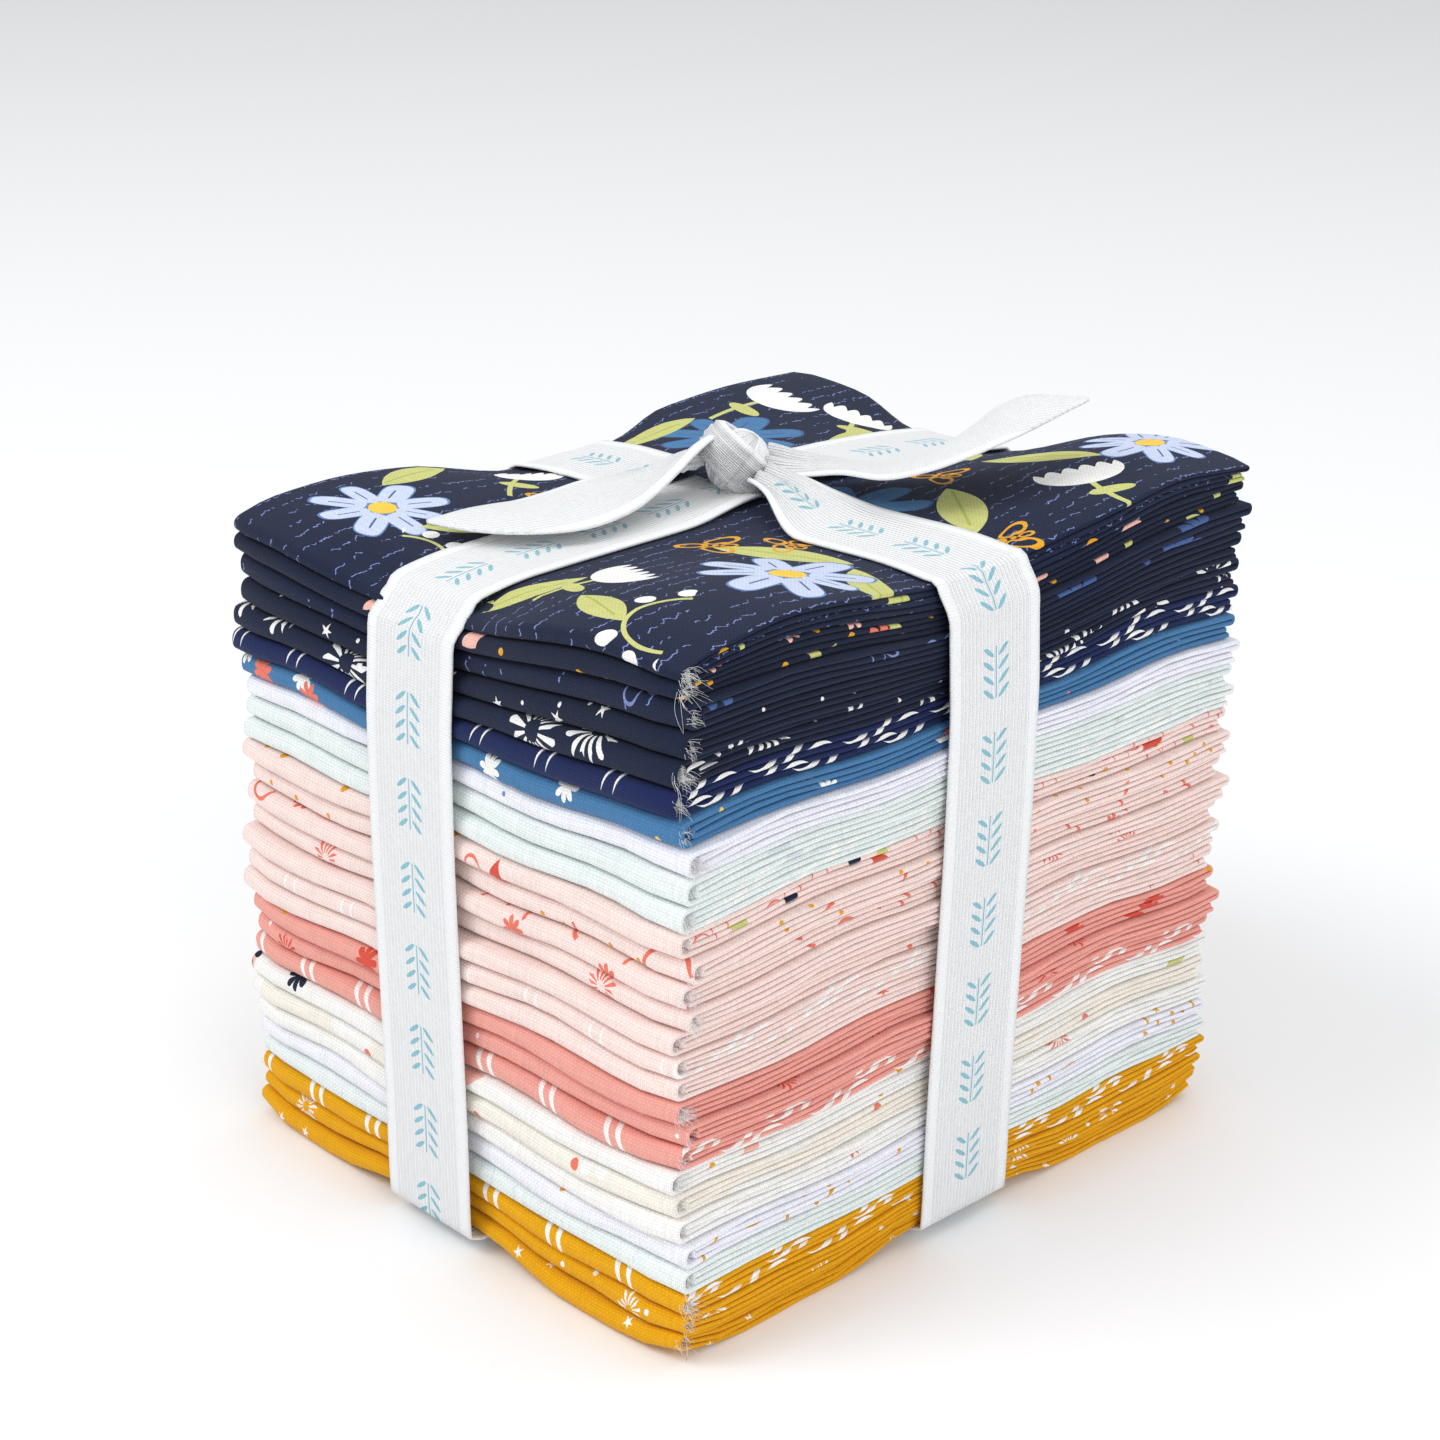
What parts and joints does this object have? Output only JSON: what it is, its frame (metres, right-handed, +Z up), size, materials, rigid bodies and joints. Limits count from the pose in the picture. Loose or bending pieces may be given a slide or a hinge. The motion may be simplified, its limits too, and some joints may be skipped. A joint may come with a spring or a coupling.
{
  "type": "fat quarter bundle",
  "caption": "Folded fat quarters of printed quilting cotton, stacked by colour and tied both ways with white twill tape knotted on top.",
  "frame": {"origin": "centre of the bundle's footprint, on the surface it rests on", "axes": "+Z up; X runs along the folds and Y across them, so the -Y side shows the round front folds and the +X side shows the edges of the layers"},
  "size_m": [0.1212, 0.1472, 0.1397],
  "materials": {
    "navy_print": "matte woven cotton",
    "royal_print": "matte woven cotton",
    "blue_print": "matte woven cotton",
    "lavender_print": "matte woven cotton",
    "mint_print": "matte woven cotton",
    "pink_print": "matte woven cotton",
    "salmon_print": "matte woven cotton",
    "white_print": "matte woven cotton",
    "cream_print": "matte woven cotton",
    "mustard_print": "matte woven cotton",
    "cotton_tape": "matte herringbone twill"
  },
  "bodies": {
    "root": {"fat_quarter_01": "navy_print", "fat_quarter_02": "navy_print", "fat_quarter_03": "navy_print", "fat_quarter_04": "navy_print", "fat_quarter_05": "navy_print", "fat_quarter_06": "royal_print", "fat_quarter_07": "blue_print", "fat_quarter_08": "lavender_print", "fat_quarter_09": "mint_print", "fat_quarter_10": "mint_print", "fat_quarter_11": "pink_print", "fat_quarter_12": "pink_print", "fat_quarter_13": "pink_print", "fat_quarter_14": "pink_print", "fat_quarter_15": "pink_print", "fat_quarter_16": "pink_print", "fat_quarter_17": "pink_print", "fat_quarter_18": "salmon_print", "fat_quarter_19": "salmon_print", "fat_quarter_20": "salmon_print", "fat_quarter_21": "white_print", "fat_quarter_22": "cream_print", "fat_quarter_23": "white_print", "fat_quarter_24": "lavender_print", "fat_quarter_25": "mint_print", "fat_quarter_26": "mustard_print", "fat_quarter_27": "mustard_print", "fat_quarter_28": "mustard_print", "tape_across_folds": "cotton_tape", "tape_along_folds": "cotton_tape", "tape_knot": "cotton_tape", "tape_tail_left": "cotton_tape", "tape_tail_right": "cotton_tape"}
  },
  "joints": []
}
